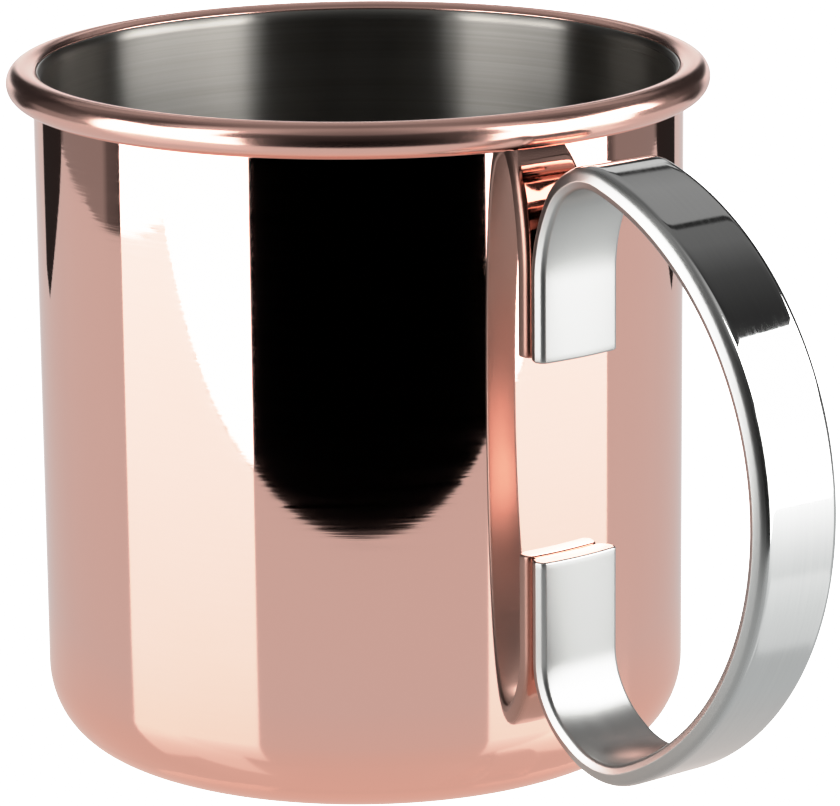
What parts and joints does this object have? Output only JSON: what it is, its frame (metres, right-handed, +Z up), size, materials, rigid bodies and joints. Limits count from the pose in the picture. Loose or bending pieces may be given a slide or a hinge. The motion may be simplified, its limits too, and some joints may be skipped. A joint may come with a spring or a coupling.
{
  "type": "mug",
  "caption": "Straight-sided copper mug with a rolled rim, a steel lining and a bent steel strap handle.",
  "frame": {"origin": "centre of the flat base, on the cup's axis", "axes": "+Z up along the cup's axis, +X from the axis to the handle, +Y to the left when looking along +X"},
  "size_m": [0.1324, 0.0918, 0.0905],
  "materials": {
    "copper": "mirror-polished copper",
    "brushed_steel": "fine lines round the cup",
    "polished_steel": "polished stainless steel"
  },
  "bodies": {
    "root": {"copper_shell": "copper", "steel_liner": "brushed_steel", "handle_strap": "polished_steel", "upper_leg_weld_near_end": "polished_steel", "upper_leg_weld_near_bend": "polished_steel", "lower_leg_weld_near_end": "polished_steel", "lower_leg_weld_near_bend": "polished_steel"}
  },
  "joints": []
}
